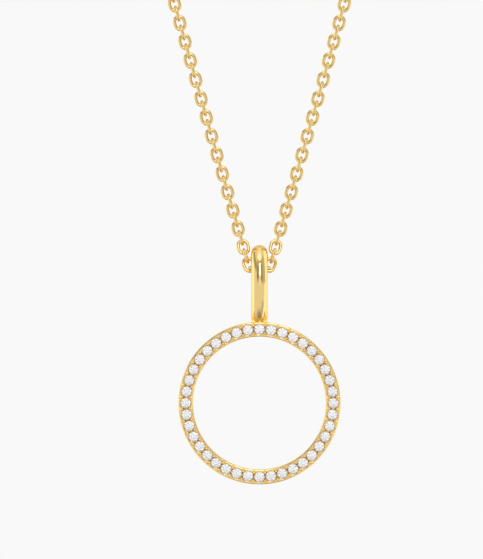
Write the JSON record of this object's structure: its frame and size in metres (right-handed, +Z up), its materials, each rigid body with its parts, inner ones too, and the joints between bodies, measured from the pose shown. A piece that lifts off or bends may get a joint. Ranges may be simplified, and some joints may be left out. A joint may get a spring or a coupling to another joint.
{
  "type": "open circle pendant necklace",
  "caption": "Open circle pendant set all round with small round stones, on a tall half-round bail that hangs free on a fine cable chain with a plain clasp.",
  "frame": {"origin": "the middle of the nape on the chain's centre line, inside the clasp's ring, where the neck holds the necklace", "axes": "+Z up, the pendant's stones face -Y, +X is the wearer's left"},
  "size_m": [0.0718, 0.081, 0.1955],
  "materials": {
    "gold": "polished yellow gold",
    "stone": "cut and polished clear stone"
  },
  "bodies": {
    "chain": {"chain_front": "gold", "chain_back": "gold", "clasp": "gold"},
    "pendant": {"circle_and_bail": "gold", "stone_01": "stone", "stone_02": "stone", "stone_03": "stone", "stone_04": "stone", "stone_05": "stone", "stone_06": "stone", "stone_07": "stone", "stone_08": "stone", "stone_09": "stone", "stone_10": "stone", "stone_11": "stone", "stone_12": "stone", "stone_13": "stone", "stone_14": "stone", "stone_15": "stone", "stone_16": "stone", "stone_17": "stone", "stone_18": "stone", "stone_19": "stone", "stone_20": "stone", "stone_21": "stone", "stone_22": "stone", "stone_23": "stone", "stone_24": "stone", "stone_25": "stone", "stone_26": "stone", "stone_27": "stone", "stone_28": "stone", "stone_29": "stone", "stone_30": "stone", "stone_31": "stone", "stone_32": "stone", "stone_33": "stone", "stone_34": "stone", "stone_35": "stone", "stone_36": "stone", "stone_37": "stone", "stone_38": "stone", "stone_39": "stone", "stone_40": "stone"}
  },
  "joints": [
    {"name": "pendant_swing", "type": "hinge", "parent": "chain", "child": "pendant", "pos_m": [0, -0.078, -0.1715], "axis": [1, 0, 0], "range_deg": [-90, 90]}
  ]
}
